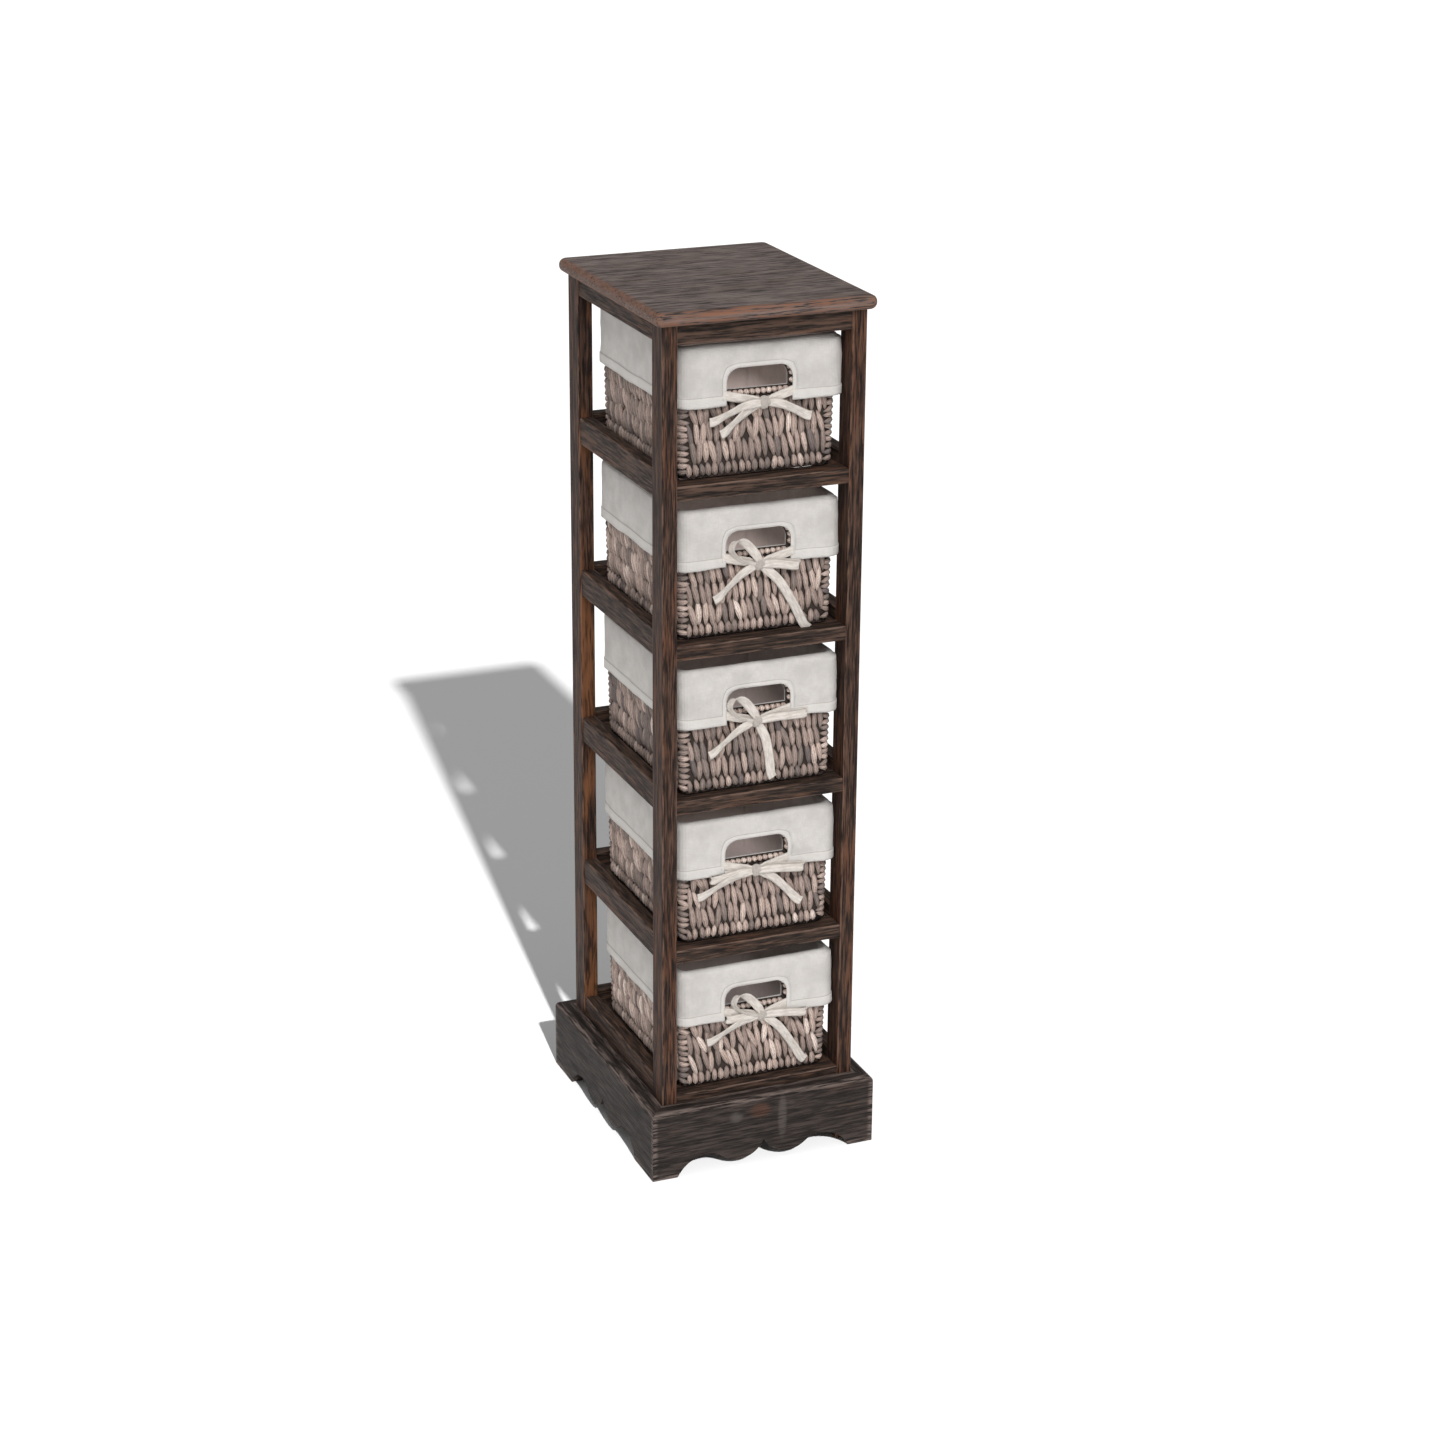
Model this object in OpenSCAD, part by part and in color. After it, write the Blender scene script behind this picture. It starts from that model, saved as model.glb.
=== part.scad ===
// Five-level basket shelf: a dowelled lath frame on a scalloped plinth, with a round-edged top board
// and five lined wicker baskets that pull out at the front.
// Millimetres. X runs across the front, -Y faces the user, Z is up from the floor.

/* [Frame] */
// Width across the posts
frame_w = 216; // [196:1:250]
// Depth across the posts
frame_d = 264; // [240:1:300]
// Width of a post seen from the front
post_w = 16; // [14:0.5:20]
// Depth of a post seen from the side
post_d = 28; // [26:0.5:34]
// Chamfer along the edges of posts, rails and runners
edge_c = 1; // [0.4:0.1:1.5]

/* [Levels] */
// Distance from one level to the next
level_pitch = 165; // [150:1:190]
// Height of a front rail, which lies flat
rail_h = 15; // [13:0.5:18]
// Depth of a front rail
rail_d = 25; // [23:0.5:27]
// Height of the side and back rails, which stand on edge
guide_h = 28; // [24:0.5:34]
// How far the rails lie behind the outer faces of the posts
rail_recess = 1.5; // [0.5:0.1:3]
// Width of the runners under each basket
runner_w = 14; // [10:0.5:18]
// Height of the runners under each basket
runner_h = 12; // [8:0.5:12.5]
// Thickness of the front apron under the top board
apron_t = 16; // [12:0.5:20]
// Height of the aprons under the top board
apron_h = 20; // [16:0.5:26]

/* [Top board] */
// Thickness of the top board
top_t = 14; // [12:0.5:18]
// Overhang of the top board past the posts
top_over = 9; // [6:0.5:14]
// Radius of the top board's rounded edge
top_round = 6.5; // [4:0.5:6.5]
// Radius of the top board's corners in plan
top_corner = 9; // [8:0.5:14]

/* [Plinth] */
// Height of the plinth boards
skirt_h = 77; // [72:1:86]
// Thickness of the plinth boards
skirt_t = 18; // [15:0.5:20]
// Radius of the plinth's rounded top edge
skirt_round = 7; // [4:0.5:9]
// How far the plinth boards reach up over the lowest rails
skirt_lap = 7; // [4:0.5:10]
// From the middle of a plinth board to the inner end of each foot
foot_x = 98; // [94:1:104]
// From the middle of a plinth board to the top of each arch
arch_x = 64; // [62:1:66]
// Height of the arches above the floor
arch_rise = 21; // [20:0.5:23]
// From the middle of a plinth board to the lowest point of each lobe
lobe_x = 28; // [26:1:30]
// Height of the lobes above the floor
lobe_rise = 7.5; // [6:0.5:9]
// Height of the cusp in the middle above the floor
cusp_rise = 26; // [24:0.5:28]

/* [Dowels] */
// Diameter of the dowels
dowel_d = 6; // [4:0.5:7]
// Depth of a dowel in a post
dowel_in_post = 9; // [7:0.5:9.5]
// Depth of a dowel in a rail
dowel_in_rail = 16; // [12:0.5:20]
// Depth of a dowel in the top board
dowel_in_top = 8; // [6:0.5:9]
// Depth of a dowel in an apron's upper edge
dowel_in_apron = 10; // [8:0.5:12]
// Gap round a dowel in its hole
dowel_fit = 0.05; // [0.03:0.01:0.1]
// Gap past each end of a dowel
dowel_end = 0.5; // [0.3:0.1:1]
// From the middle of a side apron to each of its upright dowels
top_dowel_y = 60; // [40:1:80]

/* [Baskets] */
// Gap between a lined basket and the posts on each side
side_gap = 4; // [2:0.5:6]
// Gap above a basket under the next front rail
head_gap = 15; // [8:0.5:20]
// Gap above the top basket under the apron
top_gap = 6; // [4:0.5:12]
// Gap between a basket and what it stands on
seat_gap = 0.3; // [0.2:0.05:0.5]
// Depth of a lined basket
basket_d = 222; // [200:1:228]
// Thickness of the woven wall
wall_t = 7; // [6:0.5:9]
// Thickness of the woven bottom
bottom_t = 6; // [5:0.5:8]
// How much narrower a basket is at the bottom, on each side
taper = 3; // [1:0.5:5]
// Radius of a basket's upright corners
corner_r = 13; // [11:0.5:18]
// Height of the lowest rod that the strands bulge over
rod_low = 6.5; // [5:0.5:9]
// Height from one rod to the next
rod_pitch = 20; // [16:0.5:26]
// How far the weave draws in between two rods
row_dip = 2; // [0.5:0.1:2]
// Thickness of the iron hoops inside the weave
iron_t = 3; // [2:0.5:4]
// Diameter of the iron uprights inside the weave
upright_d = 2.5; // [1.5:0.1:2.8]
// Width of the hand hole
hole_w = 66; // [56:1:76]
// Height of the hand hole
hole_h = 23; // [20:1:28]
// From the lined rim down to the hand hole
hole_drop = 25; // [20:1:30]

/* [Linings and ties] */
// Thickness of the lining cloth
cloth_t = 1; // [0.8:0.1:1.5]
// Gap between the lining and the weave
cloth_gap = 0.3; // [0.2:0.05:0.4]
// How far the cuff hangs down outside the rim
cuff_h = 62; // [54:1:70]
// How much wider than the hand hole the cuff's notch is, on each side
notch_extra = 2; // [1:0.5:4]
// Width of the ribbon
ribbon_w = 9; // [7:0.5:12]
// Thickness of the tied ribbon
ribbon_t = 2.4; // [1.6:0.2:3.2]
// Width of the knot
knot_w = 11; // [9:0.5:14]

/* [Hidden] */
LEVELS = 5;
// Gap between each basket and the back rails, from the top down
BACK_GAP = [12, 13, 17, 16, 18];
// Where each knot lies beside the middle of its basket, from the top down
KNOT_X = [4, 0, 0, 1, 5];
// Ends of each ribbon's loops and tails, across and up from its knot, from the top down
RIBBON_ENDS = [
    [[-57, -15], [-45, -29], [50, -18]],
    [[-30, 24], [44, -4], [-48, -33], [50, -64]],
    [[-29, 26], [52, 3], [-51, -31], [20, -62]],
    [[-50, -2], [52, -1], [-60, -21], [50, -43]],
    [[-30, 26], [48, -2], [-60, -22], [48, -60]]
];
small = 0.01;
round_fn = 32;
corner_steps = 4;
front_y = -frame_d / 2;
back_y = frame_d / 2;
inner_w = frame_w - 2 * post_w;
inner_d = frame_d - 2 * post_d;
guide_t = post_w - rail_recess;
base_z = skirt_h - skirt_lap;
basket_h = level_pitch - rail_h - head_gap;
apron_z = level_z(1) + rail_h + basket_h + top_gap;
post_h = apron_z + apron_h;
cross_rail_y = front_y + rail_recess + rail_d / 2;
apron_y = front_y + rail_recess + apron_t / 2;
back_rail_y = back_y - rail_recess - guide_t / 2;
side_rail_x = frame_w / 2 - rail_recess - guide_t / 2;
lining = cloth_gap + cloth_t;
weave_w = inner_w - 2 * side_gap - 2 * lining;
weave_d = basket_d - 2 * lining;
weave_h = basket_h - lining;
cuff_z = basket_h - cuff_h;
hole_top = basket_h - hole_drop;
lean = atan(taper / basket_h);

function level_z(n) = base_z + (LEVELS - n) * level_pitch;
function seat_z(n) = level_z(n) + rail_h + seat_gap;
function basket_y(n) = back_y - rail_recess - guide_t - BACK_GAP[n - 1] - basket_d / 2;

// Dowels that lie across the shelf, as [y, z]
CROSS_DOWELS = concat(
    [for (n = [1:LEVELS]) [cross_rail_y, level_z(n) + rail_h / 2]],
    [for (n = [1:LEVELS], k = [1, 3]) [back_rail_y, level_z(n) + guide_h * k / 4]],
    [[apron_y, apron_z + apron_h / 2], [back_rail_y, apron_z + apron_h / 2]]
);
// Heights of the dowels that run from front to back
SIDE_DOWELS = concat(
    [for (n = [1:LEVELS], k = [1, 3]) level_z(n) + guide_h * k / 4],
    [apron_z + apron_h / 2]
);

// A bar's cross-section with its corner at the origin and its edges taken off
module bar_section(w, h) {
    c = edge_c;
    polygon([[c, 0], [w - c, 0], [w, c], [w, h - c], [w - c, h], [c, h], [0, h - c], [0, c]]);
}

// A bar along X over the middle of the shelf, from its section's lowest y and z
module cross_bar(y, z, d, h) {
    rotate([90, 0, 90]) translate([y, z, -inner_w / 2]) linear_extrude(inner_w) bar_section(d, h);
}

// A bar along Y between two heights, from its lowest x and z
module long_bar(x, z, w, h, y0, y1) {
    translate([0, y1, 0]) rotate([90, 0, 0]) translate([x, z, 0]) linear_extrude(y1 - y0) bar_section(w, h);
}

// The cross dowels, or with a gap their holes, at both ends of every cross rail
module cross_dowels(gap, over) {
    for (p = CROSS_DOWELS, s = [-1, 1])
        translate([s * (inner_w + dowel_in_post - dowel_in_rail) / 2, p[0], p[1]]) rotate([0, 90, 0])
            cylinder(h = dowel_in_post + dowel_in_rail + 2 * over, d = dowel_d + 2 * gap, center = true, $fn = round_fn);
}

// The dowels of the side rails, or with a gap their holes
module side_dowels(gap, over) {
    for (z = SIDE_DOWELS, sx = [-1, 1], sy = [-1, 1])
        translate([sx * side_rail_x, sy * (inner_d + dowel_in_post - dowel_in_rail) / 2, z]) rotate([90, 0, 0])
            cylinder(h = dowel_in_post + dowel_in_rail + 2 * over, d = dowel_d + 2 * gap, center = true, $fn = round_fn);
}

// The upright dowels between the side aprons and the top board, or with a gap their holes
module top_dowels(gap, over) {
    for (sx = [-1, 1], sy = [-1, 1])
        translate([sx * side_rail_x, sy * top_dowel_y, post_h - dowel_in_apron - over])
            cylinder(h = dowel_in_apron + dowel_in_top + 2 * over, d = dowel_d + 2 * gap, $fn = round_fn);
}

module dowels() {
    color("burlywood") {
        cross_dowels(0, 0);
        side_dowels(0, 0);
        top_dowels(0, 0);
    }
}

module post(sx, sy) {
    color("#3f322c") difference() {
        translate([sx * (frame_w - post_w) / 2 - post_w / 2, sy * (frame_d - post_d) / 2 - post_d / 2, 0])
            linear_extrude(post_h) bar_section(post_w, post_d);
        cross_dowels(dowel_fit, dowel_end);
        side_dowels(dowel_fit, dowel_end);
    }
}

module front_rail(n) {
    color("#4a382f") difference() {
        cross_bar(front_y + rail_recess, level_z(n), rail_d, rail_h);
        cross_dowels(dowel_fit, dowel_end);
    }
}

module back_rail(n) {
    color("#4a382f") difference() {
        cross_bar(back_y - rail_recess - guide_t, level_z(n), guide_t, guide_h);
        cross_dowels(dowel_fit, dowel_end);
    }
}

// A side rail on the left (sx = -1) or the right (sx = 1)
module side_rail(n, sx) {
    color("#45352d") difference() {
        long_bar(sx * side_rail_x - guide_t / 2, level_z(n), guide_t, guide_h, -inner_d / 2, inner_d / 2);
        side_dowels(dowel_fit, dowel_end);
    }
}

// The two strips that carry a basket, one along each side rail
module runners(n) {
    color("#5a463a") for (sx = [-1, 1])
        long_bar(sx * (inner_w - runner_w) / 2 - runner_w / 2, level_z(n) + rail_h - runner_h, runner_w, runner_h,
                 front_y + rail_recess + rail_d, back_y - rail_recess - guide_t);
}

module apron_front() {
    color("#4a382f") difference() {
        cross_bar(front_y + rail_recess, apron_z, apron_t, apron_h);
        cross_dowels(dowel_fit, dowel_end);
    }
}

module apron_back() {
    color("#4a382f") difference() {
        cross_bar(back_y - rail_recess - guide_t, apron_z, guide_t, apron_h);
        cross_dowels(dowel_fit, dowel_end);
    }
}

module apron_side(sx) {
    color("#45352d") difference() {
        long_bar(sx * side_rail_x - guide_t / 2, apron_z, guide_t, apron_h, -inner_d / 2, inner_d / 2);
        side_dowels(dowel_fit, dowel_end);
        top_dowels(dowel_fit, dowel_end);
    }
}

// One corner of the top board: a disc whose rim is rounded above and below
module top_corner_disc() {
    rotate_extrude($fn = 2 * round_fn) intersection() {
        square([top_corner, top_t]);
        hull() for (z = [top_round, top_t - top_round])
            translate([top_corner - top_round, z]) circle(top_round, $fn = round_fn);
    }
    cylinder(h = top_t, r = top_corner - top_round, $fn = 2 * round_fn);
}

module top_board() {
    corner_x = frame_w / 2 + top_over - top_corner;
    corner_y = frame_d / 2 + top_over - top_corner;
    color("#5b4c44") difference() {
        hull() for (sx = [-1, 1], sy = [-1, 1])
            translate([sx * corner_x, sy * corner_y, post_h]) top_corner_disc();
        top_dowels(dowel_fit, dowel_end);
    }
}

// Points along an arc about [x, z] from one angle to another, with its first point or without it
function arc(x, z, r, a0, a1, first = 0, steps = 10) = [for (k = [first:steps])
    let (a = a0 + (a1 - a0) * k / steps) [x + r * cos(a), z + r * sin(a)]];
// The scalloped lower edge to the right of the middle: a lobe, then an arch of two radii down to the foot
lobe_up = cusp_rise - lobe_rise;
lobe_r = (lobe_x * lobe_x + lobe_up * lobe_up) / (2 * lobe_up);
lobe_z = lobe_rise + lobe_r;
arch_dx = arch_x - lobe_x;
arch_dz = lobe_z - arch_rise;
arch_in_r = (arch_dx * arch_dx + arch_dz * arch_dz - lobe_r * lobe_r) / (2 * (lobe_r - arch_dz));
arch_foot = foot_x - arch_x;
arch_out_r = (arch_foot * arch_foot + arch_rise * arch_rise) / (2 * arch_rise);
meet_a = atan2(arch_rise - arch_in_r - lobe_z, arch_dx);
cusp_a = atan2(cusp_rise - lobe_z, -lobe_x);
foot_a = atan2(arch_out_r - arch_rise, arch_foot);
SCALLOP = concat(
    arc(lobe_x, lobe_z, lobe_r, cusp_a, meet_a),
    arc(arch_x, arch_rise - arch_in_r, arch_in_r, 180 + meet_a, 90, 1),
    arc(arch_x, arch_rise - arch_out_r, arch_out_r, 90, foot_a, 1)
);

// A plinth board whose inner face lies on y = 0 and which faces -Y, mitred at both ends
module plinth_board(inner_len) {
    outer = inner_len / 2 + skirt_t;
    half = concat(SCALLOP, [[outer, 0], [outer, skirt_h]]);
    left = [for (k = [len(half) - 1:-1:1]) [-half[k][0], half[k][1]]];
    edge = arc(-skirt_t + skirt_round, skirt_h - skirt_round, skirt_round, 90, 180);
    color("#40342e") intersection() {
        rotate([90, 0, 90]) translate([0, 0, -outer]) linear_extrude(2 * outer)
            polygon(concat([[0, 0], [0, skirt_h]], edge, [[-skirt_t, 0]]));
        rotate([90, 0, 0]) translate([0, 0, -1]) linear_extrude(skirt_t + 2) polygon(concat(left, half));
        linear_extrude(skirt_h)
            polygon([[-outer, -skirt_t], [outer, -skirt_t], [inner_len / 2, 0], [-inner_len / 2, 0]]);
    }
}

module plinth_front() {
    translate([0, front_y, 0]) plinth_board(frame_w);
}

module plinth_back() {
    translate([0, back_y, 0]) rotate([0, 0, 180]) plinth_board(frame_w);
}

module plinth_left() {
    translate([-frame_w / 2, 0, 0]) rotate([0, 0, -90]) plinth_board(frame_d);
}

module plinth_right() {
    translate([frame_w / 2, 0, 0]) rotate([0, 0, 90]) plinth_board(frame_d);
}

// A tapered block with round corners: the woven wall's outside grown by g, between two heights
module tub(g, z0, z1) {
    hull() for (z = [z0, z1 - small]) {
        in = taper * (1 - z / basket_h);
        r = corner_r + g;
        translate([0, 0, z]) linear_extrude(small)
            offset(r, $fn = round_fn) square([weave_w + 2 * (g - in - r), weave_d + 2 * (g - in - r)], center = true);
    }
}

// The hand hole's outline with its lower edge at z0, cut from front to back between two depths
module hole_cut(w, z0, y0, y1) {
    r = hole_h * 0.6;
    translate([0, y1, 0]) rotate([90, 0, 0]) linear_extrude(y1 - y0) {
        translate([-w / 2, z0]) square([w, hole_top - r - z0]);
        translate([-w / 2 + r, z0]) square([w - 2 * r, hole_top - z0]);
        for (s = [-1, 1]) translate([s * (w / 2 - r), hole_top - r]) circle(r, $fn = round_fn);
    }
}

module in_basket(n) {
    translate([0, basket_y(n), seat_z(n)]) children();
}

// The outline of the woven wall at height z, drawn in by dip, with corner_steps + 1 points at each corner
function wall_ring(z, dip) = let (in = taper * (1 - z / basket_h) + dip, r = corner_r - dip)
    [for (c = [[1, 1], [-1, 1], [-1, -1], [1, -1]], k = [0:corner_steps])
        let (a = 90 * k / corner_steps + (c[1] > 0 ? (c[0] > 0 ? 0 : 90) : (c[0] < 0 ? 180 : 270)))
        [c[0] * (weave_w / 2 - in - r) + r * cos(a), c[1] * (weave_d / 2 - in - r) + r * sin(a), z]];

// A closed solid through rings of as many points each, counted anticlockwise from above, from the bottom up
module loft(rings) {
    n = len(rings[0]);
    top = (len(rings) - 1) * n;
    sides = [for (k = [0:n:top - n], j = [0:n - 1]) let (a = k + j, b = k + (j + 1) % n)
        each [[a, b + n, b], [a, a + n, b + n]]];
    polyhedron(
        [for (ring = rings, p = ring) p],
        concat([[for (j = [0:n - 1]) j]], sides, [[for (j = [n - 1:-1:0]) top + j]])
    );
}

// The outside of the weave: its strands bulge over every rod and draw in halfway to the next
module woven_block() {
    rods = [for (z = [rod_low:rod_pitch:weave_h - rod_pitch / 4]) z];
    loft([
        wall_ring(0, row_dip),
        for (z = rods) each [
            wall_ring(z, 0),
            wall_ring(z < rods[len(rods) - 1] ? z + rod_pitch / 2 : weave_h, row_dip)
        ]
    ]);
}

module basket(n) {
    color("#a08c7b") in_basket(n) difference() {
        woven_block();
        tub(-wall_t, bottom_t, weave_h + 1);
        hole_cut(hole_w, hole_top - hole_h, -basket_d, 0);
    }
}

// A hoop of square iron bar in the middle of the woven wall, with its lower face at height z
module hoop(z) {
    in = taper * (1 - z / basket_h) + (wall_t - iron_t) / 2;
    r = corner_r - (wall_t - iron_t) / 2;
    translate([0, 0, z]) linear_extrude(iron_t) difference() {
        round_frame(weave_w - 2 * in, weave_d - 2 * in, r);
        round_frame(weave_w - 2 * in - 2 * iron_t, weave_d - 2 * in - 2 * iron_t, r - iron_t);
    }
}

// A rectangle with round corners
module round_frame(w, d, r) {
    square([w - 2 * r, d], center = true);
    square([w, d - 2 * r], center = true);
    for (sx = [-1, 1], sy = [-1, 1]) translate([sx * (w / 2 - r), sy * (d / 2 - r)]) circle(r, $fn = round_fn);
}

// The point in the middle of the woven wall at the corner [sx, sy]
function wall_corner(sx, sy, z) =
    let (in = taper * (1 - z / basket_h) + wall_t / 2, k = (corner_r - wall_t / 2) * (1 - sqrt(0.5)))
    [sx * (weave_w / 2 - in - k), sy * (weave_d / 2 - in - k), z];

// A round iron upright between two points
module upright(a, b) {
    v = b - a;
    translate(a) rotate([0, acos(v[2] / norm(v)), atan2(v[1], v[0])])
        cylinder(h = norm(v), d = upright_d, $fn = round_fn);
}

// The iron frame that the strands are woven round: two hoops and four welded uprights
module basket_frame(n) {
    low = (bottom_t - iron_t) / 2;
    high = weave_h - 2 * iron_t;
    color("#55504c") in_basket(n) {
        hoop(low);
        hoop(high);
        for (sx = [-1, 1], sy = [-1, 1])
            upright(wall_corner(sx, sy, low + iron_t / 2), wall_corner(sx, sy, high + iron_t / 2));
    }
}

// The lining: a bag inside the weave, folded over the rim into a cuff that is notched at the hand hole
module lining(n) {
    skin = -wall_t - cloth_gap;
    color("#dcd8d0") in_basket(n) difference() {
        union() {
            tub(lining, cuff_z, basket_h);
            tub(skin, bottom_t + cloth_gap, cuff_z + 1);
        }
        difference() {
            tub(cloth_gap, cuff_z - 1, weave_h + cloth_gap);
            tub(skin, 0, weave_h + 1);
        }
        tub(skin - cloth_t, bottom_t + lining, basket_h + 1);
        hole_cut(hole_w, hole_top - hole_h, -basket_d, 0);
        hole_cut(hole_w + 2 * notch_extra, cuff_z - 1, -basket_d, -weave_d / 2 + wall_t / 2);
    }
}

// A flat strip of ribbon from the knot to a point
module ribbon_strip(p, w) {
    side = [-p[1], p[0]] / norm(p) * w / 2;
    polygon([side * 0.6, p + side, p - side, -side * 0.6]);
}

// The ribbons that close the notch: two bands from its lower corners, knotted, with loops and cut ends
module tie(n) {
    knot_x = KNOT_X[n - 1];
    corner = hole_w / 2 + notch_extra + ribbon_w / 2;
    band_z = ribbon_w;
    color("#e6e0d2") in_basket(n) translate([0, -basket_d / 2 + taper, 0]) rotate([lean, 0, 0])
        translate([knot_x, -cloth_gap, cuff_z]) rotate([90, 0, 0]) {
            linear_extrude(ribbon_t) {
                for (p = RIBBON_ENDS[n - 1]) ribbon_strip(p, ribbon_w);
                for (s = [-1, 1]) ribbon_strip([s * corner - knot_x, band_z], ribbon_w);
            }
            linear_extrude(ribbon_t * 1.8) offset(2, $fn = round_fn) square(knot_w - 4, center = true);
        }
}

top_board();
post(-1, -1);  // post_front_left
post(1, -1);  // post_front_right
post(-1, 1);  // post_back_left
post(1, 1);  // post_back_right
apron_front();
apron_back();
apron_side(-1);  // apron_left
apron_side(1);  // apron_right
plinth_front();
plinth_back();
plinth_left();
plinth_right();
dowels();
for (n = [1:LEVELS]) {
    front_rail(n);
    back_rail(n);
    side_rail(n, -1);
    side_rail(n, 1);
    runners(n);
    basket(n);
    basket_frame(n);
    lining(n);
    tie(n);
}
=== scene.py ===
"""The looks of a basket shelf: a stained lath frame on a scalloped plinth, and five lined wicker baskets."""
import math
import random

import bmesh
import bpy
from mathutils import Matrix, Vector, noise


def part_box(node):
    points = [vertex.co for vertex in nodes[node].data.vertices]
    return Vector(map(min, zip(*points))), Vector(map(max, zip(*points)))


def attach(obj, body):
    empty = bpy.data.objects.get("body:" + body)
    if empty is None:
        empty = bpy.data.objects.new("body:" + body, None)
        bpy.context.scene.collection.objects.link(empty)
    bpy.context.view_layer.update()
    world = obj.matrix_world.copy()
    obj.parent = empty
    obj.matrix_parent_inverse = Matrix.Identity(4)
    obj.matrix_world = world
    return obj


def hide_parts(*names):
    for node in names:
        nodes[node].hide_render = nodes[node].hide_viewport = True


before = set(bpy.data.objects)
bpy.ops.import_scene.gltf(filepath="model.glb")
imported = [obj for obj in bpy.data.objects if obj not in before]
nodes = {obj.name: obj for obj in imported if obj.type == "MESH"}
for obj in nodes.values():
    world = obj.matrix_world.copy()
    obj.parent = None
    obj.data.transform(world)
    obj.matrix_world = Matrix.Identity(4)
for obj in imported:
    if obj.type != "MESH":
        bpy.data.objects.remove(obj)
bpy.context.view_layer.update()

# Posts
# Four planed laths of a light, coarse-grained wood, their edges just broken. Dark stain is brushed on and
# wiped off: it stays in the pores and lets brown show in long streaks, most on the front of the back posts.
MM = 0.001


class Shade:
    """A socket of a material's node tree. Arithmetic adds Math nodes, and node() adds any other node."""

    def __init__(self, tree, socket):
        self.tree, self.socket = tree, socket

    def node(self, kind, values, out=0, stops=(), **settings):
        """A new node's output. Its settings and a ramp's stops are set first, and then its sockets."""
        new = self.tree.nodes.new("ShaderNode" + kind)
        for name, setting in settings.items():
            setattr(new, name, setting)
        for _ in stops[2:]:
            new.color_ramp.elements.new(1)
        for element, (position, colour) in zip(new.color_ramp.elements if stops else (), stops):
            element.position, element.color = position, colour
        for name, value in values.items():
            if isinstance(value, Shade):
                self.tree.links.new(value.socket, new.inputs[name])
            else:
                new.inputs[name].default_value = value
        return Shade(self.tree, new.outputs[out])

    def math(self, operation, *others):
        return self.node("Math", dict(enumerate((self, *others))), operation=operation)

    def __add__(self, other):
        return self.math("ADD", other)

    def __mul__(self, other):
        return self.math("MULTIPLY", other)

    def __sub__(self, other):
        return self.math("SUBTRACT", other)

    def __rsub__(self, other):
        return self * -1 + other

    def __truediv__(self, other):
        return self.math("DIVIDE", other)

    def __abs__(self):
        return self.math("ABSOLUTE")

    __radd__, __rmul__ = __add__, __mul__

    def between(self, low, high):
        """0 below low and 1 above high, with a smooth rise between them."""
        values = {"Value": self, "From Min": low, "From Max": high}
        return self.node("MapRange", values, interpolation_type="SMOOTHSTEP")

    def mix(self, first, second, blend="MIX"):
        """The first colour where this is 0 and the second where it is 1."""
        return self.node("Mix", {0: self, 6: first, 7: second}, out=2, data_type="RGBA", blend_type=blend)

    def grain(self, scale, stretch=(1, 1, 1), detail=3.0, shift=0.0):
        """Noise at this place, with so many waves to the metre, drawn out where stretch is small."""
        place = self.node("Mapping", {"Vector": self, "Scale": stretch, "Location": (shift, shift, shift)})
        return place.node("TexNoise", {"Vector": place, "Scale": scale, "Detail": detail, "Roughness": 0.6})

    def axes(self):
        return [self.node("SeparateXYZ", {"Vector": self}, out=k) for k in range(3)]


def paint(red, green, blue):
    """The shader's value for a colour that is seen as these 8-bit values."""
    return (*(((c / 255 + 0.055) / 1.055) ** 2.4 for c in (red, green, blue)), 1.0)


def new_finish(name, source="TexCoord", out="Object", **settings):
    """A new material, its Principled shader, and the place on the object that its pattern starts from."""
    material = bpy.data.materials.new(name)
    material.use_nodes = True
    tree = material.node_tree
    start = tree.nodes.new("ShaderNode" + source)
    for setting, value in settings.items():
        setattr(start, setting, value)
    return material, tree.nodes["Principled BSDF"], Shade(tree, start.outputs[out])


def apply(shader, colour, roughness, height, depth):
    """Links a finish's colour, roughness and relief of some metres' depth to its shader."""
    tree = colour.tree
    bump = height.node("Bump", {"Height": height, "Distance": depth, "Strength": 1.0})
    tree.links.new(colour.socket, shader.inputs["Base Color"])
    tree.links.new(roughness.socket, shader.inputs["Roughness"])
    tree.links.new(bump.socket, shader.inputs["Normal"])


def least(first, second):
    return first.math("MINIMUM", second)


def most(first, second):
    return first.math("MAXIMUM", second)


GRAIN_PULL = 0.065
STREAKS_PER_M, LINES_PER_M, CLOUDS_PER_M = 210.0, 560.0, 38.0
EDGE_WEAR_AND_HIGHLIGHT_REACH = 2.2 * MM
WOOD_RELIEF = 0.5 * MM
BARE_WOOD, PORE = paint(138, 90, 56), paint(22, 16, 13)


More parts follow.
